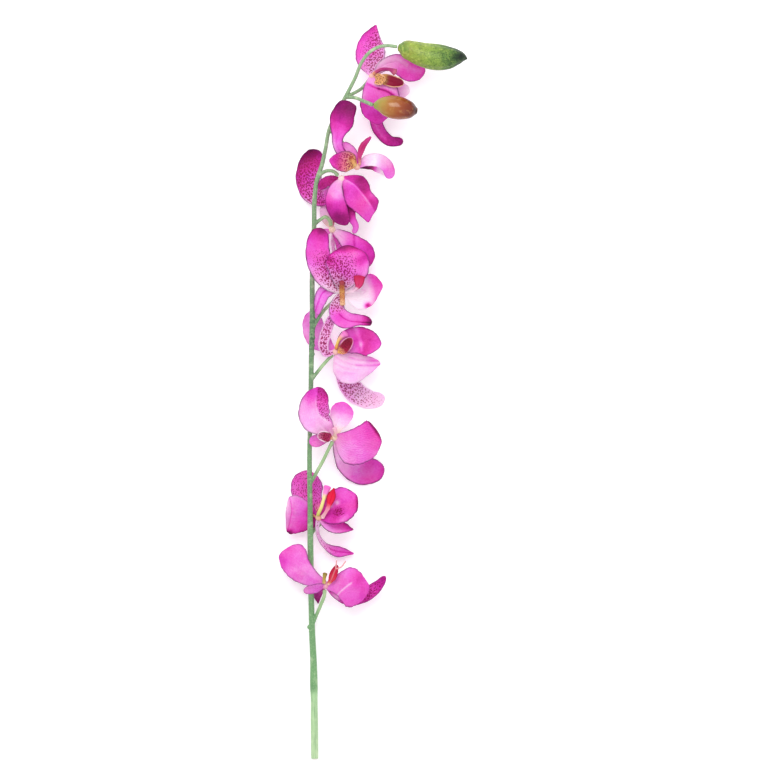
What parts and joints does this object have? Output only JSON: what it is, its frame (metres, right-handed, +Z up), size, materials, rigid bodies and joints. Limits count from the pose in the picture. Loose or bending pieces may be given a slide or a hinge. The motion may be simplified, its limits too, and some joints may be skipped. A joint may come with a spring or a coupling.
{
  "type": "orchid stem",
  "caption": "Arching moth-orchid flower stem, cut, with open magenta blooms and two closed buds, lying on its side on a surface.",
  "frame": {"origin": "on the surface the stem lies on, below the middle of its bounding box", "axes": "+Y along the stem from its cut end to the buds, +Z up, +X to the side that the buds point to"},
  "size_m": [0.1602, 0.626, 0.0603],
  "materials": {
    "stem_green": "satin sage green",
    "petal_magenta": "soft matte magenta, paler at the heart",
    "lip_crimson": "soft matte crimson",
    "column_yellow": "matte yellow",
    "bud_green": "mottled lime green",
    "bud_amber": "glossy amber"
  },
  "bodies": {
    "root": {"stem": "stem_green", "bud_green": "bud_green", "bud_amber": "bud_amber", "bloom_1_petals": "petal_magenta", "bloom_1_lip": "lip_crimson", "bloom_1_column": "column_yellow", "bloom_2_petals": "petal_magenta", "bloom_2_lip": "lip_crimson", "bloom_2_column": "column_yellow", "bloom_3_petals": "petal_magenta", "bloom_3_lip": "lip_crimson", "bloom_3_column": "column_yellow", "bloom_4_petals": "petal_magenta", "bloom_4_lip": "lip_crimson", "bloom_4_column": "column_yellow", "bloom_5_petals": "petal_magenta", "bloom_5_lip": "lip_crimson", "bloom_5_column": "column_yellow", "bloom_6_petals": "petal_magenta", "bloom_6_lip": "lip_crimson", "bloom_6_column": "column_yellow", "bloom_7_petals": "petal_magenta", "bloom_7_lip": "lip_crimson", "bloom_7_column": "column_yellow", "bloom_8_petals": "petal_magenta", "bloom_8_lip": "lip_crimson", "bloom_8_column": "column_yellow", "bloom_9_petals": "petal_magenta", "bloom_9_lip": "lip_crimson", "bloom_9_column": "column_yellow"}
  },
  "joints": []
}
